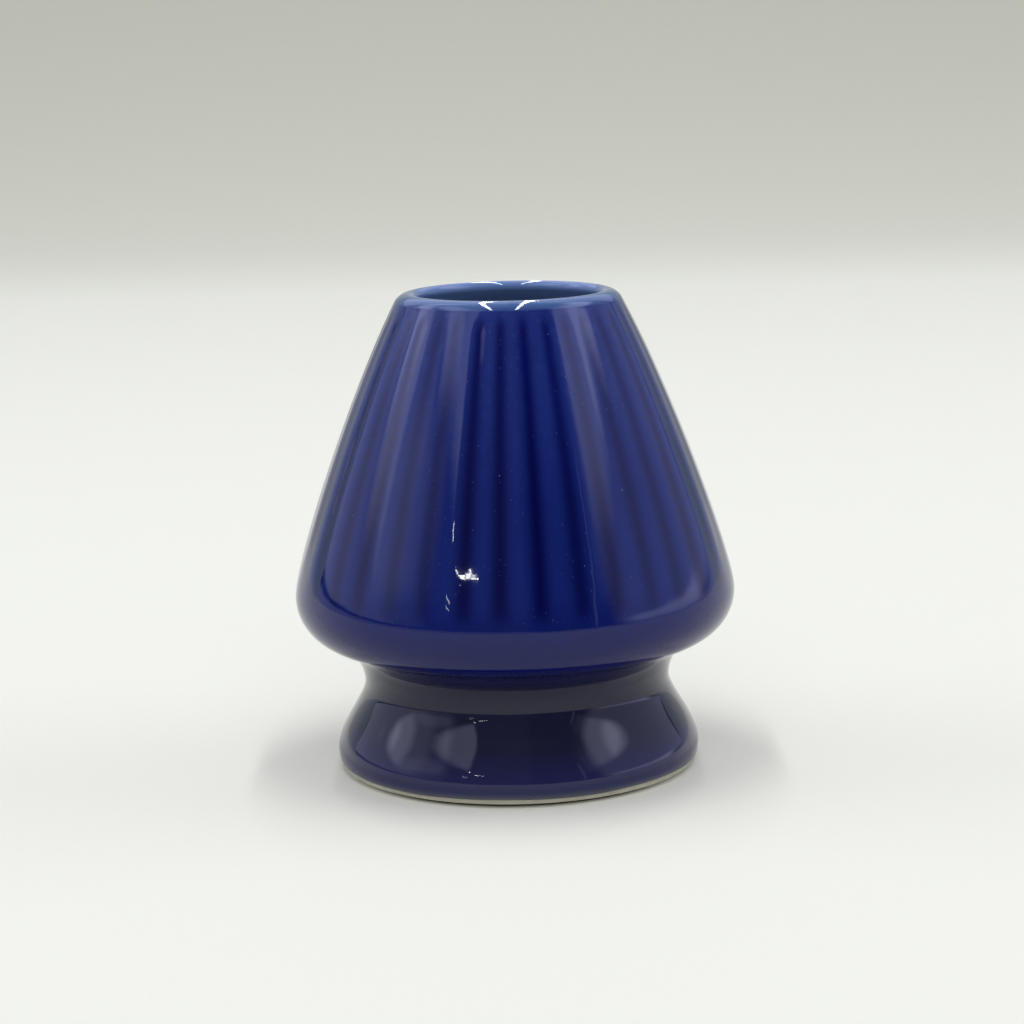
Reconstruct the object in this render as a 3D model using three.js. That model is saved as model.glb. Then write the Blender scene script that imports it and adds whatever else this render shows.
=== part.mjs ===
// Tea whisk holder: a small fluted porcelain bell on a flared foot, open at the mouth and the base.
// Millimetres, +Z up. The origin is the centre of the foot ring, on the surface it stands on.
import * as THREE from 'three';
import { mergeVertices } from 'three/addons/utils/BufferGeometryUtils.js';

// Radii, measured on the outside of the glaze
const bellRadius = 32.5;
const bellOverhang = 9.85;
const footFlare = 4.25;
const mouthRadius = 14.45;

// Heights, each counted from the level below it
const footWidestHeight = 2.9;
const waistRise = 10.2;
const bellRise = 44.4;

// Roundings of the outside: the hollow of the neck, the shoulder of the bell, the outer side of the rim
const neckRounding = 6.3;
const shoulderRounding = 7.1;
const rimRounding = 2.45;

// The wall: a cast shell that keeps one thickness, up to a rounded rim
const wallThickness = 2.8;
const glazeThickness = 0.35;
const footEdgeWidth = 1.1;
const innerFootRounding = 0.3;
const glazeLineHeight = 1.05;

// Slope of the bell just below the rim, from the vertical
const rimSlope = THREE.MathUtils.degToRad(27.6);

// How strongly the foot and the bell bend, as shares of their heights
const footBendShare = 0.33;
const waistBendShare = 0.27;
const shoulderBendShare = 0.106;
const upperBellBendShare = 0.345;

// Flutes: round-headed under the rim and fading on the shoulder; the glaze pools in them and half fills them
const fluteCount = 36;
const fluteDepth = 0.22;
const glazePooling = 0.28;
const fluteTopGap = 1.5;
const fluteHeadLength = 1.6;
const fluteFootGap = 1.6;
const fluteFadeLength = 7.5;
const halfGrooveShare = 0.28;

// Levels and radii that follow from the sizes above
const roundings = neckRounding + shoulderRounding;
const overhangTurn = Math.acos((roundings - bellOverhang) / roundings);
const waistHeight = footWidestHeight + waistRise;
const shoulderHeight = waistHeight + roundings * Math.sin(overhangTurn);
const totalHeight = shoulderHeight + bellRise;
const waistRadius = bellRadius - bellOverhang;
const footRadius = waistRadius + footFlare;
const baseRadius = footRadius - footEdgeWidth;
const innerFootRadius = footRadius - wallThickness;
const fluteTop = totalHeight - fluteTopGap;
const fluteFoot = shoulderHeight + fluteFootGap;

// The inner side of the rim is rounded by what the wall leaves over
const slopeSine = Math.sin(rimSlope);
const innerRimRounding = (wallThickness - rimRounding * (1 - slopeSine)) / (1 + slopeSine);

const upRight = (radius, height) => new THREE.Vector2(radius, height);
const outward = (angle) => upRight(Math.cos(angle), Math.sin(angle));
const crest = upRight(mouthRadius, totalHeight);
const rimTangent = outward(rimSlope + Math.PI / 2);

function arc(centre, radius, from, to) {
  return new THREE.EllipseCurve(centre.x, centre.y, radius, radius, from, to, to < from);
}

// Point of the rim at an angle, on the rounding that has its top at the crest, at a depth under the surface
function rimPoint(rounding, angle, depth) {
  const centre = upRight(crest.x, crest.y - rounding);
  return centre.addScaledVector(outward(angle), rounding - depth);
}

// Outside of the wall from the foot's widest line up to the rim, as radius and height
function wallCurves() {
  const foot = new THREE.CubicBezierCurve(
    upRight(footRadius, footWidestHeight),
    upRight(footRadius, footWidestHeight + footBendShare * waistRise),
    upRight(waistRadius, waistHeight - waistBendShare * waistRise),
    upRight(waistRadius, waistHeight),
  );
  const neckCentre = upRight(waistRadius + neckRounding, waistHeight);
  const neck = arc(neckCentre, neckRounding, Math.PI, Math.PI - overhangTurn);
  const shoulderCentre = upRight(bellRadius - shoulderRounding, shoulderHeight);
  const shoulder = arc(shoulderCentre, shoulderRounding, -overhangTurn, 0);
  const rimStart = rimPoint(rimRounding, rimSlope, 0);
  const bell = new THREE.CubicBezierCurve(
    upRight(bellRadius, shoulderHeight),
    upRight(bellRadius, shoulderHeight + shoulderBendShare * bellRise),
    rimStart.clone().addScaledVector(rimTangent, -upperBellBendShare * bellRise),
    rimStart,
  );
  return { foot, neck, shoulder, bell };
}

// Point of a wall curve, moved inwards by a depth square to the surface
function pointAt(curve, share, depth) {
  const tangent = curve.getTangent(share);
  return curve.getPoint(share).add(upRight(-tangent.y, tangent.x).multiplyScalar(depth));
}

// Share along a rising curve where it reaches a height, by halving
function shareAtHeight(curve, height) {
  let low = 0;
  let high = 1;
  for (let step = 0; step < 40; step += 1) {
    const middle = (low + high) / 2;
    if (curve.getPoint(middle).y < height) low = middle;
    else high = middle;
  }
  return (low + high) / 2;
}

// Rows of one face of the wall, going up, with the rows of the bell kept apart
function wallRows(depth, steps) {
  const { foot, neck, shoulder, bell } = wallCurves();
  const rows = [];
  const follow = (curve, count, first) => {
    for (let step = first; step <= count; step += 1) rows.push(pointAt(curve, step / count, depth));
  };
  follow(foot, steps.foot, 0);
  follow(neck, steps.neck, 1);
  follow(shoulder, steps.shoulder, 1);
  const start = shareAtHeight(bell, fluteFoot);
  const end = shareAtHeight(bell, fluteTop);
  const headStart = shareAtHeight(bell, fluteTop - fluteHeadLength);
  for (let step = 1; step <= steps.bellCurve; step += 1) {
    rows.push(pointAt(bell, start * step / steps.bellCurve, depth));
  }
  const firstFluted = rows.length - 1;
  for (let step = 1; step <= steps.flutes; step += 1) {
    rows.push(pointAt(bell, THREE.MathUtils.lerp(start, headStart, step / steps.flutes), depth));
  }
  for (let step = 1; step <= steps.heads; step += 1) {
    rows.push(pointAt(bell, THREE.MathUtils.lerp(headStart, end, step / steps.heads), depth));
  }
  const lastFluted = rows.length - 1;
  return { rows, firstFluted, lastFluted };
}

// Rounded rim between the outer and the inner face, with a row on the crest itself
function rimRows(depth, steps) {
  const rows = [];
  const turn = (rounding, from, to, count) => {
    for (let step = 1; step <= count; step += 1) {
      rows.push(rimPoint(rounding, THREE.MathUtils.lerp(from, to, step / count), depth));
    }
  };
  turn(rimRounding, rimSlope, Math.PI / 2, steps.outside);
  turn(innerRimRounding, Math.PI / 2, Math.PI + rimSlope, steps.inside);
  return rows;
}

// Width of the grooves at a height, as a share of their full width: a half-round head at the top
function headWidth(height) {
  const below = THREE.MathUtils.clamp((fluteTop - height) / fluteHeadLength, 0, 1);
  return Math.sqrt(1 - (1 - below) ** 2);
}

// Depth of the grooves at a height, as a share of their full depth: a long fade on the shoulder
function grooveStrength(height) {
  return headWidth(height) * THREE.MathUtils.smoothstep(height, fluteFoot, fluteFoot + fluteFadeLength);
}

// Points around a ring, given as shares of one flute from its groove to the next
const plainShares = [0, 0.5];
const sparseShares = [0];
const finelyGrooved = (halfShare) => [0, halfShare, 0.5, 1 - halfShare];
const coarselyGrooved = (halfShare) => [0, halfShare, 1 - halfShare];

// One closed ring of points; a grooved ring is sunk by its depth where the shares say groove
function ring(row, shares, depth = 0) {
  const points = [];
  const pitch = 2 * Math.PI / fluteCount;
  for (let flute = 0; flute < fluteCount; flute += 1) {
    for (const share of shares) {
      const angle = (flute + share) * pitch - Math.PI / 2;
      const radius = row.x - (share === 0 ? depth : 0);
      const place = new THREE.Vector3(radius * Math.cos(angle), radius * Math.sin(angle), row.y);
      points.push({ place, turn: flute + share });
    }
  }
  return points;
}

// Triangles between two rings, zipped by turn so that the rings may differ in count
function zip(lower, upper) {
  const triangles = [];
  const turnOf = (points, index) => (index < points.length ? points[index].turn : fluteCount);
  const at = (points, index) => points[index % points.length].place;
  let low = 0;
  let high = 0;
  while (low < lower.length || high < upper.length) {
    const lowNext = low < lower.length ? turnOf(lower, low + 1) : Infinity;
    const highNext = high < upper.length ? turnOf(upper, high + 1) : Infinity;
    if (lowNext <= highNext) {
      triangles.push(at(lower, low), at(lower, low + 1), at(upper, high));
      low += 1;
    } else {
      triangles.push(at(lower, low), at(upper, high + 1), at(upper, high));
      high += 1;
    }
  }
  return triangles;
}

function loft(rings) {
  return rings.slice(1).flatMap((upper, index) => zip(rings[index], upper));
}

function turnedOver(triangles) {
  const turned = [];
  for (let corner = 0; corner < triangles.length; corner += 3) {
    turned.push(triangles[corner], triangles[corner + 2], triangles[corner + 1]);
  }
  return turned;
}

function solid(name, triangles, material) {
  const geometry = new THREE.BufferGeometry().setFromPoints(triangles);
  const mesh = new THREE.Mesh(mergeVertices(geometry), material);
  mesh.geometry.computeVertexNormals();
  mesh.name = name;
  return mesh;
}

// Rings of a whole face: up the outside, over the rim and down the inside
function faceRings(depth, outer, inner, style) {
  const out = wallRows(depth, outer);
  const down = wallRows(wallThickness - depth, inner);
  const outRings = out.rows.map((row, index) => {
    if (index <= out.firstFluted || index >= out.lastFluted) return ring(row, style.plainShares);
    const shares = style.grooved(halfGrooveShare * headWidth(row.y));
    return ring(row, shares, style.grooveDepth * grooveStrength(row.y));
  });
  const overRings = rimRows(depth, style.rim).map((row) => ring(row, style.plainShares));
  const downRings = down.rows.slice(0, -1).map((row) => ring(row, sparseShares)).reverse();
  return [...outRings, ...overRings, ...downRings];
}

// Lower outside edge of the foot, from the base up to the widest line, at a depth under the glaze
function footEdge(depth, fromHeight, count) {
  const rise = (height) => Math.asin(THREE.MathUtils.clamp(1 - height / footWidestHeight, 0, 1));
  const first = rise(fromHeight);
  const rows = [];
  for (let step = 0; step < count; step += 1) {
    const angle = first * (1 - step / count);
    const reach = (footEdgeWidth - depth) * Math.cos(angle);
    rows.push(upRight(baseRadius + reach, footWidestHeight * (1 - Math.sin(angle))));
  }
  return rows;
}

const outerSteps = { foot: 6, neck: 4, shoulder: 5, bellCurve: 1, flutes: 4, heads: 3 };
const coreSteps = { foot: 4, neck: 3, shoulder: 4, bellCurve: 1, flutes: 4, heads: 2 };
const innerSteps = { foot: 4, neck: 3, shoulder: 3, bellCurve: 1, flutes: 3, heads: 1 };

const glazeStyle = {
  grooveDepth: fluteDepth,
  grooved: finelyGrooved,
  plainShares,
  rim: { outside: 3, inside: 4 },
};
const coreStyle = {
  grooveDepth: fluteDepth + glazePooling,
  grooved: coarselyGrooved,
  plainShares: sparseShares,
  rim: { outside: 1, inside: 3 },
};

// The face that the glaze and the clay share, between the outer and the inner glaze lines
const coreRings = [
  ...footEdge(glazeThickness, glazeLineHeight, 2).map((row) => ring(row, plainShares)),
  ...faceRings(glazeThickness, coreSteps, innerSteps, coreStyle),
];
const coreFace = loft(coreRings);
const coreStart = coreRings[0];
const coreEnd = coreRings[coreRings.length - 1];

// Fired clay: the shell under the glaze, and the bare foot ring that it stands on
function clayBody() {
  const innerEdge = innerFootRadius + glazeThickness;
  const rows = [
    upRight(innerEdge, innerFootRounding),
    upRight(innerEdge + innerFootRounding * (1 - Math.SQRT1_2), innerFootRounding * (1 - Math.SQRT1_2)),
    upRight(innerEdge + innerFootRounding, 0),
    ...footEdge(glazeThickness, 0, 3).filter((row) => row.y < glazeLineHeight),
  ];
  const footRings = rows.map((row) => ring(row, plainShares));
  const bareFace = loft([coreEnd, ...footRings, coreStart]);
  const clay = new THREE.MeshStandardMaterial({ color: 0xcfc8b8, roughness: 0.75, metalness: 0 });
  return solid('porcelain_body', [...coreFace, ...bareFace], clay);
}

// Cobalt glaze: a coat over the outside, the rim and the inside, ending above the foot ring
function glazeCoat() {
  const edgeRings = footEdge(0, glazeLineHeight, 2).map((row) => ring(row, plainShares));
  const skinRings = [...edgeRings, ...faceRings(0, outerSteps, innerSteps, glazeStyle)];
  const skin = loft(skinRings);
  const outerLip = loft([coreStart, skinRings[0]]);
  const innerLip = loft([skinRings[skinRings.length - 1], coreEnd]);
  const glaze = new THREE.MeshStandardMaterial({ color: 0x1b2a78, roughness: 0.08, metalness: 0 });
  return solid('glaze_coat', [...skin, ...innerLip, ...turnedOver(coreFace), ...outerLip], glaze);
}

const whiskHolder = new THREE.Group();
whiskHolder.add(clayBody(), glazeCoat());

export default whiskHolder;
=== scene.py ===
# Tea whisk holder: a fluted bell in cobalt glaze over a bare porcelain foot ring, on a pale sweep
import math

import bpy
import numpy as np
from mathutils import Euler, Matrix, Vector


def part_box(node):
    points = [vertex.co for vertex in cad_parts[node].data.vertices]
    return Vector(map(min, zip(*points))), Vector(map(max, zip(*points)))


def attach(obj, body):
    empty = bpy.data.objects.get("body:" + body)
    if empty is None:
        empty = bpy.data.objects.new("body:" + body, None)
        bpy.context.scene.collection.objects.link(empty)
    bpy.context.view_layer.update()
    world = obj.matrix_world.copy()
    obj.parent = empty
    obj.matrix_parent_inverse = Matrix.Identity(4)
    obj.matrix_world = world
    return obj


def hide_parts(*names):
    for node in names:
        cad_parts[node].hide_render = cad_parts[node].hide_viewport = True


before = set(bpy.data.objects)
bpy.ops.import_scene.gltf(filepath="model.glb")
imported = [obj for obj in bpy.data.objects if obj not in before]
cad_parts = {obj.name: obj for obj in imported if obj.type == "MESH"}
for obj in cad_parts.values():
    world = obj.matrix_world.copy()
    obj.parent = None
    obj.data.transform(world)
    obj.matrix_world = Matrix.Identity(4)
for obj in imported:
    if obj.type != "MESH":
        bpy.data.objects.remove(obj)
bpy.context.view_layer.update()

MM = 0.001

# The CAD part gives the overall sizes; the rest of the wall's outline is measured from them
BELL_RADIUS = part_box("glaze_coat")[1][0]
TOTAL_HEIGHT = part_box("glaze_coat")[1][2]
BELL_OVERHANG = 9.85 * MM
FOOT_FLARE = 4.25 * MM
MOUTH_RADIUS = 14.45 * MM
FOOT_WIDEST_HEIGHT = 2.9 * MM
WAIST_RISE = 10.2 * MM
NECK_ROUNDING = 6.3 * MM
SHOULDER_ROUNDING = 7.1 * MM
RIM_ROUNDING = 2.45 * MM
RIM_SLOPE = math.radians(27.6)
FOOT_BEND_SHARE = 0.33
WAIST_BEND_SHARE = 0.27
SHOULDER_BEND_SHARE = 0.106
UPPER_BELL_BEND_SHARE = 0.345

ROUNDINGS = NECK_ROUNDING + SHOULDER_ROUNDING
OVERHANG_TURN = math.acos((ROUNDINGS - BELL_OVERHANG) / ROUNDINGS)
WAIST_HEIGHT = FOOT_WIDEST_HEIGHT + WAIST_RISE
SHOULDER_HEIGHT = WAIST_HEIGHT + ROUNDINGS * math.sin(OVERHANG_TURN)
BELL_RISE = TOTAL_HEIGHT - SHOULDER_HEIGHT
WAIST_RADIUS = BELL_RADIUS - BELL_OVERHANG
FOOT_RADIUS = WAIST_RADIUS + FOOT_FLARE

# The wall: clay, with a coat of glaze on both faces
WALL = 2.8 * MM
GLAZE = 0.35 * MM
CLAY_GAP = 0.02 * MM
SLOPE_SINE = math.sin(RIM_SLOPE)
INNER_RIM_ROUNDING = (WALL - RIM_ROUNDING * (1 - SLOPE_SINE)) / (1 + SLOPE_SINE)

# The foot ring, with a small undercut lip and the glaze's lower edge
FOOT_EDGE_WIDTH = 1.1 * MM
BASE_RADIUS = FOOT_RADIUS - FOOT_EDGE_WIDTH
INNER_FOOT_ROUNDING = 0.3 * MM
BASE_LIFT = 0.54 * MM
BASE_RECESS = 0.75 * MM
BASE_CORNER = 0.15 * MM
GLAZE_LINE = 1.22 * MM
GLAZE_BEAD = 0.40 * MM

# Flutes, each a little out of true as in a plaster mould that was cut by hand
FLUTES = 36
FLUTE_DEPTH = 0.060 * MM
POOLED_GLAZE = 0.440 * MM
FLUTE_TOP = TOTAL_HEIGHT - 0.7 * MM
FLUTE_HEAD = 3.3 * MM
FLUTE_FOOT = SHOULDER_HEIGHT + 0.4 * MM
FLUTE_FADE = 9.0 * MM
POOL_FADE = 3.2 * MM
POOL_SHARPNESS = 1.5
PITCH = 2 * math.pi / FLUTES

# Steps of the mesh: once round, and rows up the foot, the neck, the shoulder and the bell
STEPS_PER_FLUTE = 20
AROUND = FLUTES * STEPS_PER_FLUTE
ANGLES = np.arange(AROUND) * 2 * math.pi / AROUND
OUTSIDE_ROWS = (44, 24, 30, 170)
INSIDE_ROWS = (16, 10, 12, 40)
HIDDEN_OUTSIDE_ROWS = (8, 6, 8, 40)
HIDDEN_INSIDE_ROWS = (8, 6, 8, 20)
RIM_ROWS = 16
HIDDEN_RIM_ROWS = 4
BEAD_ROWS = 6
GLAZE_EDGE_ROWS = 8
CLAY_EDGE_ROWS = 29
SMALL_ROWS = 5

# How thin the glaze has run, from 0 to 1: over the rim, in the mouth, at its lower edge
RIM_THIN_ZONE = (TOTAL_HEIGHT - 1.7 * MM, TOTAL_HEIGHT - 0.1 * MM)
MOUTH_THIN_ZONE = (TOTAL_HEIGHT - 7 * MM, TOTAL_HEIGHT - 1.5 * MM)
INSIDE_THIN = 0.9
INSIDE_POOL = 0.3
LINE_THIN = 0.95
BEAD_THIN_DROP = 0.45
EDGE_THIN = 0.50

random = np.random.default_rng(36)
FLUTE_SHIFT = random.uniform(-0.05, 0.05, FLUTES) * PITCH
FLUTE_STRENGTH = random.uniform(0.70, 1.20, FLUTES)
FLUTE_HEAD_SHIFT = random.uniform(-0.30, 0.30, FLUTES) * MM


def waves(count, turns, rises, size):
    """A smooth, seeded unevenness over angle and height, as a sum of a few waves."""
    amount = random.uniform(0.4, 1.0, count)
    turn = random.integers(turns[0], turns[1] + 1, count)
    rise = random.uniform(rises[0], rises[1], count) / MM
    phase = random.uniform(0, 2 * math.pi, count)

    def value(angle, height):
        total = 0
        for k in range(count):
            total = total + amount[k] * np.sin(turn[k] * angle + rise[k] * height + phase[k])
        return size * total / math.sqrt(count)

    return value


wall_wave = waves(7, (1, 5), (-0.12, 0.12), 0.045 * MM)
glaze_wave = waves(9, (4, 14), (-0.5, 0.5), 0.010 * MM)
line_wave = waves(8, (2, 23), (0, 0), 0.10 * MM)
tone_wave = waves(9, (2, 12), (-0.35, 0.35), 0.5)

# How far the waves take each face into the wall, as a share of their own size
WAVES_SHARE = 0.6


def smoothstep(value, low, high):
    share = np.clip((value - low) / (high - low), 0, 1)
    return share * share * (3 - 2 * share)


def inward(way):
    length = np.linalg.norm(way, axis=1, keepdims=True)
    return np.column_stack([-way[:, 1], way[:, 0]]) / length


def bezier(start, first, second, end, count):
    """Points and inward directions along a cubic curve in radius and height."""
    t = np.linspace(0, 1, count + 1)[:, None]
    p0, p1, p2, p3 = (np.array(point) for point in (start, first, second, end))
    points = (1 - t) ** 3 * p0 + 3 * (1 - t) ** 2 * t * p1 + 3 * (1 - t) * t ** 2 * p2 + t ** 3 * p3
    way = (1 - t) ** 2 * (p1 - p0) + 2 * (1 - t) * t * (p2 - p1) + t ** 2 * (p3 - p2)
    return points, inward(way)


def arc(centre, radius, start, end, count):
    """Points and inward directions along a stretch of a circle in radius and height."""
    angle = np.linspace(start, end, count + 1)
    points = np.column_stack([centre[0] + radius * np.cos(angle), centre[1] + radius * np.sin(angle)])
    way = np.column_stack([-np.sin(angle), np.cos(angle)]) * np.sign(end - start)
    return points, inward(way)


def outline(foot, neck, shoulder, bell):
    """The outside of the wall from the foot's widest line to the rim, with rows for each stretch."""
    rim_normal = np.array([math.cos(RIM_SLOPE), math.sin(RIM_SLOPE)])
    rim_way = np.array([-rim_normal[1], rim_normal[0]])
    rim_start = np.array([MOUTH_RADIUS, TOTAL_HEIGHT - RIM_ROUNDING]) + RIM_ROUNDING * rim_normal
    stretches = [
        bezier((FOOT_RADIUS, FOOT_WIDEST_HEIGHT),
               (FOOT_RADIUS, FOOT_WIDEST_HEIGHT + FOOT_BEND_SHARE * WAIST_RISE),
               (WAIST_RADIUS, WAIST_HEIGHT - WAIST_BEND_SHARE * WAIST_RISE),
               (WAIST_RADIUS, WAIST_HEIGHT), foot),
        arc((WAIST_RADIUS + NECK_ROUNDING, WAIST_HEIGHT), NECK_ROUNDING,
            math.pi, math.pi - OVERHANG_TURN, neck),
        arc((BELL_RADIUS - SHOULDER_ROUNDING, SHOULDER_HEIGHT), SHOULDER_ROUNDING,
            -OVERHANG_TURN, 0, shoulder),
        bezier((BELL_RADIUS, SHOULDER_HEIGHT),
               (BELL_RADIUS, SHOULDER_HEIGHT + SHOULDER_BEND_SHARE * BELL_RISE),
               rim_start - rim_way * UPPER_BELL_BEND_SHARE * BELL_RISE, rim_start, bell),
    ]
    points = np.concatenate([stretches[0][0]] + [p[1:] for p, _ in stretches[1:]])
    ways = np.concatenate([stretches[0][1]] + [w[1:] for _, w in stretches[1:]])
    return points, ways


def grooves(height):
    """Shares from 0 on the lands to 1 in the middle of a groove, of the pooling and of the relief."""
    index = np.rint(ANGLES / PITCH).astype(int) % FLUTES
    centre = np.rint(ANGLES / PITCH) * PITCH + FLUTE_SHIFT[index]
    across = np.clip((ANGLES - centre) / PITCH, -0.5, 0.5)[None, :]
    top = FLUTE_TOP + FLUTE_HEAD_SHIFT[index][None, :]
    strength = FLUTE_STRENGTH[index][None, :]
    wave = 0.5 + 0.5 * np.cos(2 * math.pi * across)
    head = 1 - smoothstep(height[:, None], top - FLUTE_HEAD, top)
    foot = smoothstep(height, FLUTE_FOOT, FLUTE_FOOT + FLUTE_FADE)[:, None]
    pool_foot = smoothstep(height, FLUTE_FOOT, FLUTE_FOOT + POOL_FADE)[:, None]
    pooled = wave ** (POOL_SHARPNESS + 1 - head) * head * pool_foot
    return pooled * np.minimum(strength, 1), wave * head * foot * strength


def turned(radius, height):
    """Places around the axis, in rows by angles; angle 0 is the front, -Y."""
    turn = ANGLES[None, :] - math.pi / 2
    radius, height, turn = np.broadcast_arrays(radius, height, turn)
    return np.stack([radius * np.cos(turn), radius * np.sin(turn), height], axis=-1)


def wall_rows(rows, depth, relief):
    """Rows of one face of the wall: its places, and how much glaze has pooled on each one."""
    points, ways = outline(*rows)
    points = points + ways * depth
    pooled, down = grooves(points[:, 1])
    uneven = wall_wave(ANGLES[None, :], points[:, 1:2]) + glaze_wave(ANGLES[None, :], points[:, 1:2])
    uneven = np.abs(uneven) * smoothstep(points[:, 1:2], FOOT_WIDEST_HEIGHT, WAIST_HEIGHT)
    into_wall = WAVES_SHARE if depth < WALL / 2 else -WAVES_SHARE
    sunk = down * relief + uneven * into_wall
    return turned(points[:, 0:1] + ways[:, 0:1] * sunk, points[:, 1:2] + ways[:, 1:2] * sunk), pooled


def rim_rows(count, depth):
    """Rows over the rim, rounded widely on its outer side and tightly on its inner side."""
    rows = []
    for rounding, start, end in ((RIM_ROUNDING, RIM_SLOPE, math.pi / 2),
                                 (INNER_RIM_ROUNDING, math.pi / 2, math.pi + RIM_SLOPE)):
        angle = np.linspace(start, end, count + 1)[1:, None]
        radius = MOUTH_RADIUS + (rounding - depth) * np.cos(angle)
        height = TOTAL_HEIGHT - rounding + (rounding - depth) * np.sin(angle)
        rows.append(turned(radius, height))
    return np.concatenate(rows)[:-1]


def foot_edge_radius(height, depth):
    rise = np.clip(1 - height / FOOT_WIDEST_HEIGHT, 0, 1)
    return BASE_RADIUS + (FOOT_EDGE_WIDTH - depth) * np.sqrt(1 - rise ** 2)


def between(start, end, count):
    """A column of values after the start, up to and with the end."""
    return np.linspace(start, end, count + 1)[1:, None]


def closed_mesh(name, rows):
    """A closed ring of rows of points, each row once round the axis, as one smooth mesh."""
    places = np.concatenate(rows)
    count = len(places)
    row = np.arange(count)[:, None]
    step = np.arange(AROUND)[None, :]
    next_row = (row + 1) % count
    next_step = (step + 1) % AROUND
    corners = [row * AROUND + step, row * AROUND + next_step,
               next_row * AROUND + next_step, next_row * AROUND + step]
    faces = np.stack(corners, axis=-1).reshape(-1, 4)
    mesh = bpy.data.meshes.new(name)
    mesh.from_pydata(places.reshape(-1, 3).tolist(), [], faces.tolist())
    mesh.polygons.foreach_set("use_smooth", [True] * len(mesh.polygons))
    mesh.update()
    piece = bpy.data.objects.new(name, mesh)
    bpy.context.scene.collection.objects.link(piece)
    return piece


def paint(piece, tones):
    """Keeps the glaze's thickness on each point: pooled, thin, and free variation."""
    layer = piece.data.color_attributes.new("glaze_tone", "FLOAT_COLOR", "POINT")
    values = np.concatenate(tones).reshape(-1, 3)
    colours = np.column_stack([np.clip(values, 0, 1), np.ones(len(values))])
    layer.data.foreach_set("color", colours.ravel().astype(np.float32))


def tone(places, pooled, thin):
    """What paint keeps, for rows of places."""
    vary = 0.5 + tone_wave(ANGLES[None, :], places[..., 2]) * 0.5
    return np.stack(np.broadcast_arrays(pooled, thin, vary), axis=-1)


def glaze_coat():
    """The glaze: a rounded lower edge with a wavy line, the outside, the rim and the inside."""
    line = (GLAZE_LINE + line_wave(ANGLES, 0))[None, :]
    turn = np.linspace(0, math.pi / 2, BEAD_ROWS + 1)[:, None]
    bead_height = line + GLAZE_BEAD * (1 - np.cos(turn))
    bead = turned(foot_edge_radius(bead_height, GLAZE * (1 - np.sin(turn))), bead_height)
    share = between(0, 1, GLAZE_EDGE_ROWS)[:-1]
    edge_height = (line + GLAZE_BEAD) + share * (FOOT_WIDEST_HEIGHT - line - GLAZE_BEAD)
    edge = turned(foot_edge_radius(edge_height, 0), edge_height)
    outside, pooled = wall_rows(OUTSIDE_ROWS, 0, FLUTE_DEPTH)
    rim = rim_rows(RIM_ROWS, 0)
    inside = wall_rows(INSIDE_ROWS, WALL, 0)[0][::-1]
    hidden_inside = wall_rows(HIDDEN_INSIDE_ROWS, WALL - GLAZE, 0)[0]
    hidden_rim = rim_rows(HIDDEN_RIM_ROWS, GLAZE)[::-1]
    hidden_outside = wall_rows(HIDDEN_OUTSIDE_ROWS, GLAZE, FLUTE_DEPTH + POOLED_GLAZE)[0][::-1]
    hidden = [hidden_inside, hidden_rim, hidden_outside]
    piece = closed_mesh("cobalt_glaze_coat", [bead, edge, outside, rim, inside] + hidden)

    rim_thin = smoothstep(rim[..., 2], *RIM_THIN_ZONE)
    rim_thin[RIM_ROWS:] = np.maximum(rim_thin[RIM_ROWS:], INSIDE_THIN)
    mouth_thin = smoothstep(inside[..., 2], *MOUTH_THIN_ZONE) * INSIDE_THIN
    bead_thin = LINE_THIN - BEAD_THIN_DROP * np.linspace(0, 1, len(bead))[:, None]
    tones = [
        tone(bead, 0, bead_thin),
        tone(edge, 0, EDGE_THIN * (1 - share) ** 3),
        tone(outside, pooled, 0),
        tone(rim, 0, rim_thin),
        tone(inside, INSIDE_POOL * (1 - mouth_thin), mouth_thin),
    ]
    paint(piece, tones + [tone(rows, 0, 0) for rows in hidden])
    return piece


def porcelain_body():
    """The clay shell under the glaze and its bare foot ring, with softened edges."""
    under = GLAZE + CLAY_GAP
    turn = np.linspace(0, math.pi / 2, SMALL_ROWS + 1)[:, None]
    inner_radius = FOOT_RADIUS - WALL + under
    inner_edge = turned(inner_radius + INNER_FOOT_ROUNDING * (1 - np.cos(turn)),
                        INNER_FOOT_ROUNDING * (1 - np.sin(turn)))
    stand_radius = BASE_RADIUS - BASE_RECESS
    base = turned(between(inner_radius + INNER_FOOT_ROUNDING, stand_radius, SMALL_ROWS), 0)
    riser = turned(stand_radius, between(0, BASE_LIFT, SMALL_ROWS))
    lip_radius = foot_edge_radius(BASE_LIFT, under)
    under_lip = turned(between(stand_radius, lip_radius - BASE_CORNER, SMALL_ROWS), BASE_LIFT)
    corner_height = BASE_LIFT + BASE_CORNER * (1 - np.cos(turn[1:]))
    corner_radius = foot_edge_radius(corner_height, under) - BASE_CORNER * (1 - np.sin(turn[1:]))
    corner = turned(corner_radius, corner_height)
    edge_height = between(BASE_LIFT + BASE_CORNER, FOOT_WIDEST_HEIGHT, CLAY_EDGE_ROWS)[:-1]
    edge = turned(foot_edge_radius(edge_height, under), edge_height)
    outside = wall_rows(HIDDEN_OUTSIDE_ROWS, under, FLUTE_DEPTH + POOLED_GLAZE)[0]
    rim = rim_rows(HIDDEN_RIM_ROWS, under)
    inside = wall_rows(HIDDEN_INSIDE_ROWS, WALL - under, 0)[0][::-1]
    rows = [inner_edge, base, riser, under_lip, corner, edge, outside, rim, inside]
    return closed_mesh("bare_porcelain_body", rows)


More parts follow.
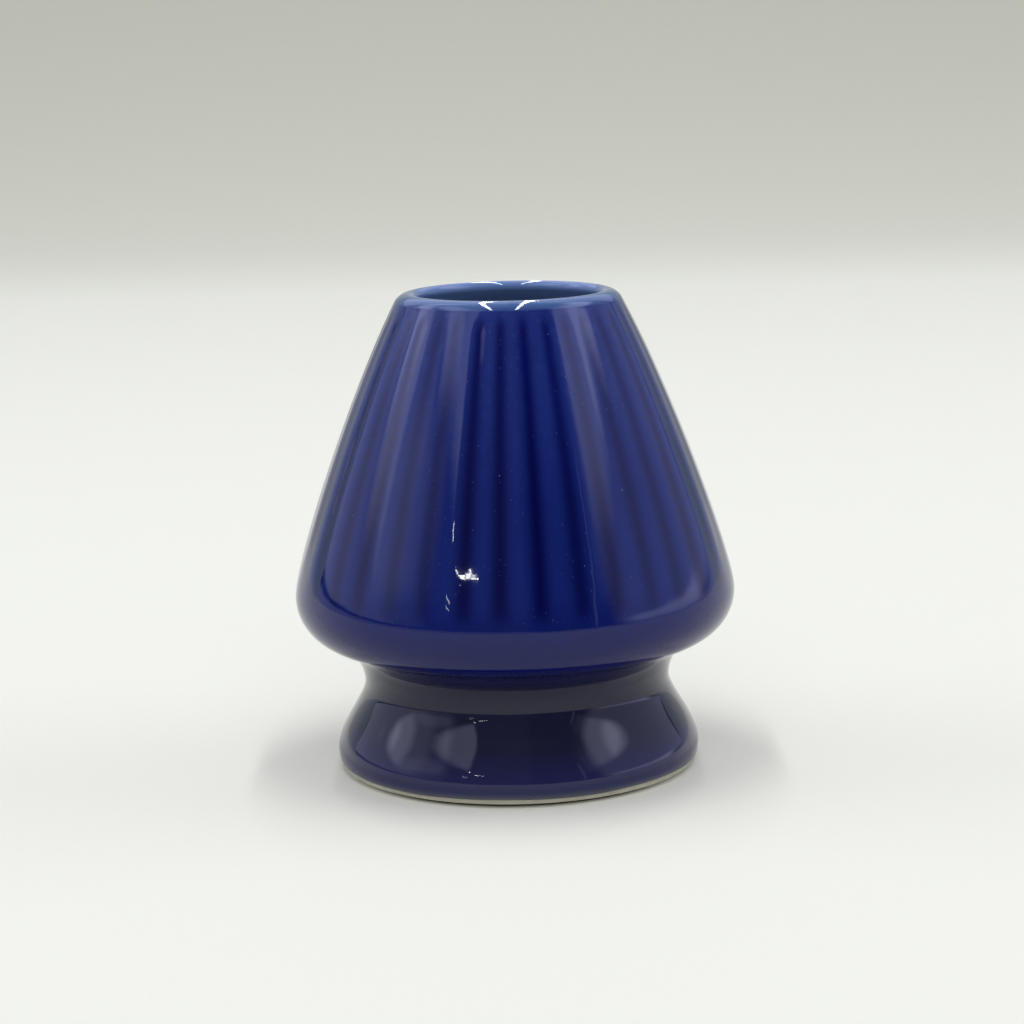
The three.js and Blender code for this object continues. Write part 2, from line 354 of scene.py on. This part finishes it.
class Nodes:
    """Short calls for building a material's node tree."""

    def __init__(self, name):
        self.material = bpy.data.materials.new(name)
        self.material.use_nodes = True
        self.tree = self.material.node_tree
        self.shader = self.tree.nodes["Principled BSDF"]
        self.place = self.add("ShaderNodeTexCoord").outputs["Object"]

    def add(self, kind, **settings):
        node = self.tree.nodes.new(kind)
        for key, value in settings.items():
            setattr(node, key, value)
        return node

    def feed(self, socket, value):
        if isinstance(value, bpy.types.NodeSocket):
            self.tree.links.new(value, socket)
        else:
            socket.default_value = value

    def split(self, kind, value):
        node = self.add(kind)
        self.feed(node.inputs[0], value)
        return node.outputs[0], node.outputs[1], node.outputs[2]

    def noise(self, scale, detail=3.0, roughness=0.5):
        """Noise from 0 to 1; the scale counts its waves in a metre."""
        node = self.add("ShaderNodeTexNoise")
        self.feed(node.inputs["Vector"], self.place)
        self.feed(node.inputs["Scale"], scale)
        self.feed(node.inputs["Detail"], detail)
        self.feed(node.inputs["Roughness"], roughness)
        return node.outputs["Fac"]

    def map(self, value, zone, low, high):
        """Low at the zone's first number, high at its second, and even between them."""
        node = self.add("ShaderNodeMapRange")
        for key, number in zip(("From Min", "From Max", "To Min", "To Max"), (*zone, low, high)):
            self.feed(node.inputs[key], number)
        self.feed(node.inputs["Value"], value)
        return node.outputs["Result"]

    def fade(self, value, zone, most=1.0):
        return self.map(value, zone, 0.0, most)

    def mix(self, amount, first, second):
        """Mixes two colours; the Mix node's sockets share their names, so they are told by type."""
        node = self.add("ShaderNodeMix", data_type="RGBA")
        self.feed(node.inputs["Factor"], amount)
        for name, value in (("A", first), ("B", second)):
            self.feed(next(s for s in node.inputs if s.name == name and s.type == "RGBA"), value)
        return next(s for s in node.outputs if s.type == "RGBA")

    def math(self, operation, first, second):
        node = self.add("ShaderNodeMath", operation=operation)
        self.feed(node.inputs[0], first)
        self.feed(node.inputs[1], second)
        return node.outputs[0]

    def times(self, first, second):
        return self.math("MULTIPLY", first, second)

    def bump(self, height, strength, distance, normal=None):
        node = self.add("ShaderNodeBump")
        self.feed(node.inputs["Strength"], strength)
        self.feed(node.inputs["Distance"], distance)
        self.feed(node.inputs["Height"], height)
        if normal is not None:
            self.feed(node.inputs["Normal"], normal)
        return node.outputs["Normal"]


# The glaze's colours under its gloss, linear; the lower bell, under-bell, neck and foot blues hold painted
# shade, and the foot-edge and mouth blues hold painted light
LAND_BLUE = (0.0136, 0.0285, 0.198, 1)
# Darker blue for the lower bell: thicker glaze that ran down, and painted shade where the bell faces away
# from the light above
LOW_LAND_POOL_AND_SHADE_BLUE = (0.0056, 0.0158, 0.155, 1)
FLECK_BLUE = (0.024, 0.052, 0.26, 1)
SHADED_BLUE = (0.0044, 0.0120, 0.116, 1)
GROOVE_BLUE = (0.0008, 0.0029, 0.084, 1)
# Groove blue for the lower bell: pooled glaze, darkened further with painted shade
LOW_GROOVE_POOL_AND_SHADE_BLUE = (0.0003, 0.0010, 0.054, 1)
# Painted shade on the bell's underside, over thicker glaze
SHOULDER_POOL_AND_SHADE_BLUE = (0.0012, 0.0045, 0.092, 1)
# Painted shade on the neck and foot under the bell's overhang, over thick glaze
FOOT_POOL_AND_SHADE_BLUE = (0.0115, 0.0122, 0.041, 1)
# Painted light from the floor, which makes the foot lighter towards its lower edge
FOOT_EDGE_FLOOR_LIGHT_BLUE = (0.0165, 0.0175, 0.086, 1)
EDGE_BLUE = (0.048, 0.116, 0.305, 1)
# Pale blue in the mouth near its top: thinner glaze, and painted light that falls in from above
MOUTH_THIN_AND_LIT_BLUE = (0.122, 0.205, 0.475, 1)
GLAZE_LINE_GREY = (0.13, 0.135, 0.165, 1)
SPECK_BLUE = (0.10, 0.15, 0.36, 1)
GLAZE_IOR = 1.41
GLAZE_ROUGHNESS = (0.020, 0.042)
SPECK_CORE_SHARE = 0.4
SAG_HEIGHT = 0.02 * MM
PEEL_HEIGHT = 0.06 * MM
PEEL_STRENGTH = 0.16
SPECK_HEIGHT = 0.04 * MM
SPECK_STRENGTH = 0.35

# Heights over which a colour, the specks or the relief comes in, from its least to its most
# The lower bell's painted shade and thicker glaze come in over this height
BELL_LOW_SHADE_ZONE = (62 * MM, 44 * MM)
# The painted shade under the bell comes in over this height
UNDER_BELL_SHADE_ZONE = (31 * MM, 23 * MM)
# The painted shade on the neck and foot comes in over this height
NECK_ZONE = (21 * MM, 16.5 * MM)
# The painted floor light on the foot comes in over this height
FOOT_FLOOR_LIGHT_ZONE = (8 * MM, 3.5 * MM)
FOOT_LINE_ZONE = (2.6 * MM, 1.8 * MM)
SPECK_ZONE = (24 * MM, 30 * MM)
ABOVE_NECK_ZONE = (21 * MM, 25 * MM)
BELOW_NECK_ZONE = (12 * MM, 10 * MM)

# The inside of the mouth, where painted light makes the glaze paler, by the distance from the axis and by
# height
INSIDE_RADIUS_ZONE = (15.2 * MM, 14.2 * MM)
MOUTH_ZONE = (TOTAL_HEIGHT - 12 * MM, TOTAL_HEIGHT - 2.5 * MM)


def glaze_colour(nodes, height):
    """Blue that is darker where the glaze has pooled; darker down the bell, under it and on the neck and
    foot from thicker glaze and painted shade; lighter at the foot's lower edge from painted floor light;
    paler where it is thin, and in the mouth from thin glaze and painted light.
    """
    tones = nodes.add("ShaderNodeVertexColor", layer_name="glaze_tone").outputs["Color"]
    pooled, thin, vary = nodes.split("ShaderNodeSeparateColor", tones)
    # Darker down the bell: thicker glaze and painted shade
    bell_low_pool_and_shade = nodes.fade(height, BELL_LOW_SHADE_ZONE)
    body = nodes.mix(bell_low_pool_and_shade, LAND_BLUE, LOW_LAND_POOL_AND_SHADE_BLUE)
    body = nodes.mix(nodes.fade(vary, (0.1, 0.9), most=0.5), body, SHADED_BLUE)
    clouds = nodes.noise(scale=260, detail=4.0, roughness=0.6)
    body = nodes.mix(nodes.fade(clouds, (0.35, 0.75), most=0.3), body, SHADED_BLUE)
    flecks = nodes.fade(nodes.noise(scale=750, detail=4.0, roughness=0.7), (0.52, 0.72), most=0.40)
    body = nodes.mix(nodes.times(flecks, nodes.math("SUBTRACT", 1.0, bell_low_pool_and_shade)), body, FLECK_BLUE)
    body = nodes.mix(pooled, body, nodes.mix(bell_low_pool_and_shade, GROOVE_BLUE, LOW_GROOVE_POOL_AND_SHADE_BLUE))
    # Painted shade on the bell's underside, over thicker glaze
    body = nodes.mix(nodes.fade(height, UNDER_BELL_SHADE_ZONE), body, SHOULDER_POOL_AND_SHADE_BLUE)
    # Painted floor light, lighter towards the foot's lower edge
    foot = nodes.mix(nodes.fade(height, FOOT_FLOOR_LIGHT_ZONE), FOOT_POOL_AND_SHADE_BLUE, FOOT_EDGE_FLOOR_LIGHT_BLUE)
    # Painted shade on the neck and foot under the bell, over thick glaze
    body = nodes.mix(nodes.fade(height, NECK_ZONE), body, foot)
    edge = nodes.mix(nodes.fade(height, FOOT_LINE_ZONE), EDGE_BLUE, GLAZE_LINE_GREY)
    body = nodes.mix(thin, body, edge)
    # Paler in the mouth near its top: thinner glaze and painted light
    inside = nodes.fade(axis_distance(nodes), INSIDE_RADIUS_ZONE)
    mouth = nodes.times(inside, nodes.fade(height, MOUTH_ZONE))
    return nodes.mix(mouth, body, MOUTH_THIN_AND_LIT_BLUE)


def axis_distance(nodes):
    across, along, _ = nodes.split("ShaderNodeSeparateXYZ", nodes.place)
    level = nodes.add("ShaderNodeCombineXYZ")
    nodes.feed(level.inputs[0], across)
    nodes.feed(level.inputs[1], along)
    length = nodes.add("ShaderNodeVectorMath", operation="LENGTH")
    nodes.feed(length.inputs[0], level.outputs[0])
    return length.outputs["Value"]


def speck_mask(nodes, scale, size, rarity, strength):
    """Pale pinholes and motes in the glaze, a share of the cells of a fine net."""
    cells = nodes.add("ShaderNodeTexVoronoi")
    nodes.feed(cells.inputs["Vector"], nodes.place)
    nodes.feed(cells.inputs["Scale"], scale)
    near = nodes.map(cells.outputs["Distance"], (size * SPECK_CORE_SHARE, size), 1.0, 0.0)
    chosen, _, _ = nodes.split("ShaderNodeSeparateColor", cells.outputs["Color"])
    return nodes.times(near, nodes.fade(chosen, (rarity, 1.0), strength))


def glaze_relief(nodes, height, specks):
    """Slow sags, a fine orange peel and the specks, off in the narrow neck."""
    above_neck = nodes.fade(height, ABOVE_NECK_ZONE)
    open_face = nodes.math("MAXIMUM", above_neck, nodes.fade(height, BELOW_NECK_ZONE))
    sag = nodes.bump(nodes.noise(scale=130, detail=1.5), open_face, SAG_HEIGHT)
    peel = nodes.noise(scale=430, detail=2.0, roughness=0.45)
    peel = nodes.bump(peel, nodes.times(open_face, PEEL_STRENGTH), PEEL_HEIGHT, sag)
    return nodes.bump(specks, nodes.times(open_face, SPECK_STRENGTH), SPECK_HEIGHT, peel)


def glaze_material():
    nodes = Nodes("cobalt_glaze")
    _, _, height = nodes.split("ShaderNodeSeparateXYZ", nodes.place)
    motes = speck_mask(nodes, scale=420, size=0.060, rarity=0.55, strength=0.9)
    dust = speck_mask(nodes, scale=1300, size=0.16, rarity=0.50, strength=0.35)
    specks = nodes.times(nodes.math("MAXIMUM", motes, dust), nodes.map(height, SPECK_ZONE, 0.2, 1.0))
    colour = nodes.mix(specks, glaze_colour(nodes, height), SPECK_BLUE)
    nodes.feed(nodes.shader.inputs["Base Color"], colour)
    gloss = nodes.map(nodes.noise(scale=900, detail=2.0), (0.3, 0.7), *GLAZE_ROUGHNESS)
    nodes.feed(nodes.shader.inputs["Roughness"], gloss)
    nodes.shader.inputs["IOR"].default_value = GLAZE_IOR
    nodes.feed(nodes.shader.inputs["Normal"], glaze_relief(nodes, height, specks))
    return nodes.material


# The bare clay, its stains and grain, and painted shade on the clay in the undercut below the lip
BARE_CLAY = (0.58, 0.56, 0.46, 1)
STAINED_CLAY = (0.38, 0.36, 0.26, 1)
CLAY_GRAIN = (0.47, 0.45, 0.37, 1)
# Painted shade in the undercut under the lip, kept off the flat base
UNDERCUT_SHADE_CLAY = (0.055, 0.055, 0.032, 1)
CLAY_ROUGHNESS = (0.65, 0.9)
GRAIN_HEIGHT = 0.08 * MM
GRAIN_STRENGTH = 0.5
UNDERCUT_SHADE_ZONE = (0.36 * MM, 0.52 * MM)
OFF_BASE_ZONE = (0.0, 0.06 * MM)


def clay_material():
    nodes = Nodes("bare_porcelain")
    grain = nodes.noise(scale=2600, detail=3.0, roughness=0.6)
    stain = nodes.fade(nodes.noise(scale=240, detail=4.0, roughness=0.6), (0.42, 0.72), most=0.6)
    colour = nodes.mix(stain, BARE_CLAY, STAINED_CLAY)
    colour = nodes.mix(nodes.fade(grain, (0.3, 0.7), most=0.25), colour, CLAY_GRAIN)
    _, _, height = nodes.split("ShaderNodeSeparateXYZ", nodes.place)
    # Painted shade in the undercut under the lip
    undercut = nodes.times(nodes.map(height, UNDERCUT_SHADE_ZONE, 1.0, 0.0), nodes.fade(height, OFF_BASE_ZONE))
    nodes.feed(nodes.shader.inputs["Base Color"], nodes.mix(undercut, colour, UNDERCUT_SHADE_CLAY))
    nodes.feed(nodes.shader.inputs["Roughness"], nodes.map(grain, (0.3, 0.7), *CLAY_ROUGHNESS))
    nodes.feed(nodes.shader.inputs["Normal"], nodes.bump(grain, GRAIN_STRENGTH, GRAIN_HEIGHT))
    return nodes.material


def dress(piece, node, material):
    piece.data.materials.append(material)
    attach(piece, "root")
    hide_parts(node)


dress(glaze_coat(), "glaze_coat", glaze_material())
dress(porcelain_body(), "porcelain_body", clay_material())

# Camera, from the outline's perspective in the photograph
IMAGE_PX = 1024
FOCAL_PX = 2720
CENTRE_SHIFT_PX = 1.11
SENSOR_MM = 36
CAMERA_DISTANCE = 395.3 * MM
CAMERA_HEIGHT = 110.3 * MM
CAMERA_PITCH = math.radians(10.42)
CAMERA_ROLL = math.radians(1.38)
CAMERA_TURN = math.radians(3.5)
CAMERA_NEAR = 10 * MM


def add_camera():
    data = bpy.data.cameras.new("camera")
    data.sensor_width = SENSOR_MM
    data.lens = FOCAL_PX * SENSOR_MM / IMAGE_PX
    data.shift_x = -CENTRE_SHIFT_PX / IMAGE_PX
    data.clip_start = CAMERA_NEAR
    camera = bpy.data.objects.new("camera", data)
    spot = Vector((math.sin(CAMERA_TURN), -math.cos(CAMERA_TURN), 0)) * CAMERA_DISTANCE
    look = Euler((math.pi / 2 - CAMERA_PITCH, 0, CAMERA_TURN)).to_matrix()
    roll = Matrix.Rotation(-CAMERA_ROLL, 3, "Z")
    camera.matrix_world = Matrix.Translation(spot + Vector((0, 0, CAMERA_HEIGHT))) @ (look @ roll).to_4x4()
    bpy.context.scene.collection.objects.link(camera)
    bpy.context.scene.camera = camera


def link_stage(name, mesh):
    piece = bpy.data.objects.new(name, mesh)
    bpy.context.scene.collection.objects.link(piece)
    return piece


def background_rays(tree):
    """1 for the rays that see the background directly, in gloss or through glass, 0 for its light."""
    ray = tree.nodes.new("ShaderNodeLightPath")
    seen = ray.outputs["Is Camera Ray"]
    for other in ("Is Glossy Ray", "Is Transmission Ray"):
        either = tree.nodes.new("ShaderNodeMath")
        either.operation = "MAXIMUM"
        tree.links.new(seen, either.inputs[0])
        tree.links.new(ray.outputs[other], either.inputs[1])
        seen = either.outputs[0]
    return seen


# The sweep, in metres from the object: a flat floor, a quarter-round bend and an upright top
SWEEP_FLOOR_DEPTHS = (-2.4, -0.6, 0.0, 0.4)
SWEEP_BEND_START = 0.85
SWEEP_BEND = 0.45
SWEEP_BEND_STEPS = 16
SWEEP_TOP = 0.62
SWEEP_HALF_WIDTH = 1.58

# Pale paper, with painted shade that makes it a little greener and darker where it curves up behind the
# object
PAPER = (0.82, 0.825, 0.785, 1)
BACK_PAPER_SHADE = (0.56, 0.57, 0.50, 1)
PAPER_GRAIN = (0.70, 0.70, 0.66, 1)
PAPER_ROUGHNESS = 0.9
PAPER_SPECULAR = 0.15
BACK_SHADE_ZONE = (0.70, 1.15)

# The light that the camera and the gloss see in the paper: warm behind, cool far out at both sides
WARM_GLOW = (1.0, 1.0, 0.94, 1)
COOL_GLOW = (0.72, 0.90, 1.35, 1)
LEFT_ZONE = (-0.42, -0.95)
RIGHT_ZONE = (0.38, 0.95)
SIDES_DEPTH_ZONE = (0.60, 0.95)
SIDES_GLOW = 0.20
LEFT_FRONT_ZONE = (0.30, 0.80)
LEFT_FRONT_GLOW = 0.16
RISE_ZONE = (-0.10, 0.70)
RISE_GLOW = (0.035, 0.115)
FALL_ZONE = (0.85, 1.25)
FALL_SHARE = 0.55


def paper_material():
    nodes = Nodes("paper")
    across, depth, _ = nodes.split("ShaderNodeSeparateXYZ", nodes.place)
    # Painted shade: darker and greener where the paper curves up behind the object
    colour = nodes.mix(nodes.fade(depth, BACK_SHADE_ZONE), PAPER, BACK_PAPER_SHADE)
    grain = nodes.noise(scale=900, detail=3.0, roughness=0.6)
    colour = nodes.mix(nodes.fade(grain, (0.3, 0.7), most=0.08), colour, PAPER_GRAIN)
    nodes.feed(nodes.shader.inputs["Base Color"], colour)
    nodes.shader.inputs["Roughness"].default_value = PAPER_ROUGHNESS
    nodes.shader.inputs["Specular IOR Level"].default_value = PAPER_SPECULAR
    left = nodes.fade(across, LEFT_ZONE)
    sides = nodes.math("MAXIMUM", left, nodes.fade(across, RIGHT_ZONE))
    sides = nodes.times(sides, nodes.fade(depth, SIDES_DEPTH_ZONE))
    nodes.feed(nodes.shader.inputs["Emission Color"], nodes.mix(sides, WARM_GLOW, COOL_GLOW))
    rise = nodes.map(depth, RISE_ZONE, *RISE_GLOW)
    glow = nodes.times(rise, nodes.map(depth, FALL_ZONE, 1.0, FALL_SHARE))
    glow = nodes.math("ADD", glow, nodes.times(sides, SIDES_GLOW))
    left_front = nodes.map(depth, LEFT_FRONT_ZONE, LEFT_FRONT_GLOW, 0.0)
    glow = nodes.math("ADD", glow, nodes.times(left, left_front))
    nodes.feed(nodes.shader.inputs["Emission Strength"], nodes.times(glow, background_rays(nodes.tree)))
    return nodes.material


def add_sweep():
    """The pale floor, which curves up into the backdrop behind the object."""
    profile = [(depth, 0) for depth in (*SWEEP_FLOOR_DEPTHS, SWEEP_BEND_START)]
    for k in range(1, SWEEP_BEND_STEPS + 1):
        angle = math.pi / 2 * k / SWEEP_BEND_STEPS
        depth = SWEEP_BEND_START + SWEEP_BEND * math.sin(angle)
        profile.append((depth, SWEEP_BEND * (1 - math.cos(angle))))
    profile.append((SWEEP_BEND_START + SWEEP_BEND, SWEEP_TOP))
    places = [(side * SWEEP_HALF_WIDTH, depth, height) for depth, height in profile for side in (-1, 1)]
    faces = [(2 * k, 2 * k + 1, 2 * k + 3, 2 * k + 2) for k in range(len(profile) - 1)]
    mesh = bpy.data.meshes.new("floor_sweep")
    mesh.from_pydata(places, [], faces)
    mesh.polygons.foreach_set("use_smooth", [True] * len(mesh.polygons))
    mesh.materials.append(paper_material())
    link_stage("floor_sweep", mesh).rotation_euler = (0, 0, CAMERA_TURN)


def studio_point(azimuth, elevation, distance):
    """A point seen from the object: azimuth in degrees to the right of the camera."""
    turn = math.radians(azimuth) + CAMERA_TURN
    rise = math.radians(elevation)
    level = distance * math.cos(rise)
    return Vector((level * math.sin(turn), -level * math.cos(turn), distance * math.sin(rise)))


# What the gloss sees far off, dark with bright areas, each with soft edges. An area has a left and
# a right limit in degrees, each with its softness; a low and a high limit, each at the area's left
# end and at its right end, with its softness; and its light
ROOM = [
    # The dark all round, a little lighter in front
    ((-181, 1), (181, 1), (-91, -91, 1), (101, 101, 1), 0.05),
    ((-44, 6), (8, 4), (-2, -2, 3), (50, 50, 8), 0.07),
    # The pale ground at the foot of it
    ((-181, 1), (12, 4), (-91, -91, 1), (1.8, 1.8, 0.5), 0.45),
    ((12, 4), (181, 1), (-91, -91, 1), (0.8, 0.8, 1.0), 0.45),
    # Left
    ((-122, 1.2), (-67, 8), (3.4, 3.4, 0.6), (62, 62, 5), 0.70),
    ((-129, 1.0), (-122, 1.2), (3.4, 3.4, 0.6), (22, 44, 2), 0.70),
    ((-67, 8), (-48, 6), (3.4, 3.4, 0.6), (30, 30, 5), 0.32),
    ((-84, 4), (-52, 5), (11, 17, 4), (24, 38, 4), 0.38),
    ((-146, 6), (-84, 4), (49, 14, 4), (64, 33, 4), 1.10),
    ((-126, 5), (-97, 4), (38, 22, 4), (53, 38, 4), 1.10),
    ((-128, 5), (-112, 4), (30, 20, 3), (42, 34, 4), 0.50),
    ((-112, 5), (-34, 1.6), (51, 29, 4), (64, 60, 8), 1.15),
    ((-88, 5), (-55, 5), (44, 35, 4), (62, 62, 7), 0.95),
    # Right
    ((44, 3), (53, 4), (18, 18, 6), (40, 40, 6), 0.25),
    ((53, 5), (128, 1.2), (2, 2, 3), (62, 62, 6), 0.58),
    ((53, 5), (128, 5), (24, 44, 4), (50, 60, 6), 0.95),
    ((68, 5), (128, 5), (28, 44, 4), (53, 60, 6), 1.35),
    ((60, 6), (112, 6), (0.5, 0.5, 1.5), (5.5, 5.5, 1.5), 1.00),
    ((40.5, 0.4), (41.7, 0.4), (3, 3, 3), (32, 32, 3), 0.60),
    # Behind, from the left and from the right
    ((-181, 1), (-131, 1.5), (1, 1, 2), (64, 64, 8), 0.72),
    ((-181, 1), (-131, 6), (22, 22, 12), (64, 64, 8), 0.50),
    ((131, 1.5), (181, 1), (1, 1, 2), (64, 64, 8), 0.62),
    ((131, 6), (181, 1), (22, 22, 12), (64, 64, 8), 0.42),
    # Overhead
    ((-181, 1), (181, 1), (51, 51, 9), (101, 101, 1), 0.42),
    ((-181, 1), (-50, 15), (60, 60, 6), (101, 101, 1), 0.35),
]
ROOM_TINT = (1.0, 1.04, 1.42)
ROOM_RADIUS = 2.9
ROOM_TURN_STEPS = 480
ROOM_RISE_STEPS = 128
ROOM_LOWEST = -6


def room_light(azimuth, elevation):
    light = 0 * azimuth
    for (left, left_soft), (right, right_soft), low, high, radiance in ROOM:
        share = np.clip((azimuth - left) / (right - left), 0, 1)
        bottom = low[0] + (low[1] - low[0]) * share
        top = high[0] + (high[1] - high[0]) * share
        across = smoothstep(azimuth, left - left_soft, left + left_soft)
        across = across * (1 - smoothstep(azimuth, right - right_soft, right + right_soft))
        level = smoothstep(elevation - bottom, -low[2], low[2])
        level = level * (1 - smoothstep(elevation - top, -high[2], high[2]))
        light = light + radiance * across * level
    return light


def glow_material():
    nodes = Nodes("room_glow")
    glow = nodes.add("ShaderNodeEmission")
    light = nodes.add("ShaderNodeVertexColor", layer_name="light")
    nodes.feed(glow.inputs["Color"], light.outputs["Color"])
    out = next(node for node in nodes.tree.nodes if node.type == "OUTPUT_MATERIAL")
    nodes.feed(out.inputs["Surface"], glow.outputs[0])
    nodes.material.cycles.emission_sampling = "NONE"
    return nodes.material


def add_room():
    """A far dome that only the gloss sees, dark in front, with bright areas at the sides."""
    azimuth, elevation = np.meshgrid(np.linspace(-180, 180, ROOM_TURN_STEPS + 1),
                                     np.linspace(ROOM_LOWEST, 90, ROOM_RISE_STEPS + 1))
    places = [tuple(studio_point(a, e, ROOM_RADIUS)) for a, e in zip(azimuth.ravel(), elevation.ravel())]
    row = ROOM_TURN_STEPS + 1
    faces = [(r * row + k, r * row + k + 1, (r + 1) * row + k + 1, (r + 1) * row + k)
             for r in range(ROOM_RISE_STEPS) for k in range(ROOM_TURN_STEPS)]
    mesh = bpy.data.meshes.new("room")
    mesh.from_pydata(places, [], faces)
    light = room_light(azimuth, elevation).ravel()
    layer = mesh.color_attributes.new("light", "FLOAT_COLOR", "POINT")
    colours = np.column_stack([light * part for part in ROOM_TINT] + [np.ones(len(light))])
    layer.data.foreach_set("color", colours.ravel())
    mesh.materials.append(glow_material())
    room = link_stage("room", mesh)
    room.visible_camera = False
    room.visible_diffuse = False
    room.visible_shadow = False


# Lamps, in metres; a radiance of 1 is white
LAMP_TARGET = Vector((0, 0, 40 * MM))
SOFT_LAMPS = (("soft_left", -95, 26, 1.5), ("soft_front", 0, 45, 1.5), ("soft_right", 95, 26, 1.7))
SOFT_SIZE = (1.0, 0.7)
SOFT_DISTANCE = 1.3
STRIPS = (("strip_left", -1), ("strip_right", 1))
STRIP_HEIGHT = 1.2
STRIP_SIDE_SHARE = 0.228
STRIP_SIZE = (0.060, 1.20)
STRIP_RADIANCE = 19

# Two long tubes overhead, from their end near the camera to their far end, for the curves on the rim
TUBES = (("tube_left", (-0.276, -0.63), (-0.063, 1.73)), ("tube_right", (0.125, -0.63), (0.085, 1.73)))
TUBE_HEIGHT = 1.15
TUBE_WIDTH = 0.040
TUBE_RADIANCE = 28

# The small bright strokes on the bell and the foot, each from one azimuth and elevation to another,
# with its thickness in degrees and its radiance
GLINTS = (
    ("pane_wide", (-27.8, 22.25), (-22.9, 22.02), 0.24, 55),
    ("pane_hook", (-28.9, 23.00), (-28.0, 22.35), 0.40, 40),
    ("pane_tall", (-32.9, 25.6), (-32.9, 27.3), 0.60, 30),
    ("pane_low", (-36.2, 18.6), (-32.9, 17.2), 0.40, 14),
    ("pane_lowest", (-35.6, 15.9), (-33.4, 15.2), 0.35, 12),
)
GLINT_DISTANCE = 1.3


def add_lamp(name, middle, turn, size, radiance):
    """A rectangular lamp that the camera itself doesn't see."""
    data = bpy.data.lights.new(name, "AREA")
    data.shape = "RECTANGLE"
    data.size, data.size_y = size
    data.energy = radiance * math.pi * size[0] * size[1]
    lamp = bpy.data.objects.new(name, data)
    lamp.matrix_world = Matrix.Translation(middle) @ turn.to_4x4()
    lamp.visible_camera = False
    bpy.context.scene.collection.objects.link(lamp)
    return lamp


def add_soft_lamp(name, azimuth, elevation, radiance):
    """A wide lamp that faces the object and gives light, but doesn't show in the gloss."""
    middle = studio_point(azimuth, elevation, SOFT_DISTANCE)
    turn = (LAMP_TARGET - middle).to_track_quat("-Z", "Y").to_matrix()
    add_lamp(name, middle, turn, SOFT_SIZE, radiance).visible_glossy = False


def add_strip(name, side):
    """One of two long lamps overhead, from the camera's side to the back, which the gloss doesn't show."""
    spin = Matrix.Rotation(CAMERA_TURN, 3, "Z")
    middle = spin @ Vector((side * STRIP_SIDE_SHARE * STRIP_HEIGHT, 0.0, STRIP_HEIGHT))
    add_lamp(name, middle, spin, STRIP_SIZE, STRIP_RADIANCE).visible_glossy = False


def add_tube(name, near, far):
    """A long tube overhead that only the gloss shows, as a bright curve on the rim."""
    spin = Matrix.Rotation(CAMERA_TURN, 3, "Z")
    first, last = (spin @ Vector((x, y, TUBE_HEIGHT)) for x, y in (near, far))
    along = (last - first).normalized()
    up = Vector((0, 0, 1))
    turn = Matrix((along.cross(up), along, up)).transposed()
    size = (TUBE_WIDTH, (last - first).length)
    add_lamp(name, (first + last) / 2, turn, size, TUBE_RADIANCE).visible_diffuse = False


def add_glint(name, start, end, thickness, radiance):
    """A thin bright shape that only the gloss shows, between two directions in degrees."""
    first, last = (studio_point(azimuth, elevation, GLINT_DISTANCE) for azimuth, elevation in (start, end))
    middle = (first + last) / 2
    across = (last - first).normalized()
    up = middle.normalized().cross(across).normalized()
    turn = Matrix((across, up, across.cross(up))).transposed()
    size = ((last - first).length, GLINT_DISTANCE * math.radians(thickness))
    add_lamp(name, middle, turn, size, radiance).visible_diffuse = False


WORLD_COLOUR = (0.93, 0.95, 0.92, 1)
WORLD_AS_LIGHT = 0.30
WORLD_AS_SEEN = 0.85


def light_world():
    """Pale all round to the eye; dimmer as a light, so that colours stay as written."""
    world = bpy.data.worlds.new("studio")
    world.use_nodes = True
    background = world.node_tree.nodes["Background"]
    background.inputs["Color"].default_value = WORLD_COLOUR
    level = world.node_tree.nodes.new("ShaderNodeMapRange")
    level.inputs["To Min"].default_value = WORLD_AS_LIGHT
    level.inputs["To Max"].default_value = WORLD_AS_SEEN
    world.node_tree.links.new(background_rays(world.node_tree), level.inputs["Value"])
    world.node_tree.links.new(level.outputs["Result"], background.inputs["Strength"])
    bpy.context.scene.world = world


add_camera()
add_sweep()
add_room()
light_world()
for strip in STRIPS:
    add_strip(*strip)
for soft_lamp in SOFT_LAMPS:
    add_soft_lamp(*soft_lamp)
for tube in TUBES:
    add_tube(*tube)
for glint in GLINTS:
    add_glint(*glint)

bpy.context.scene.view_settings.view_transform = "Standard"
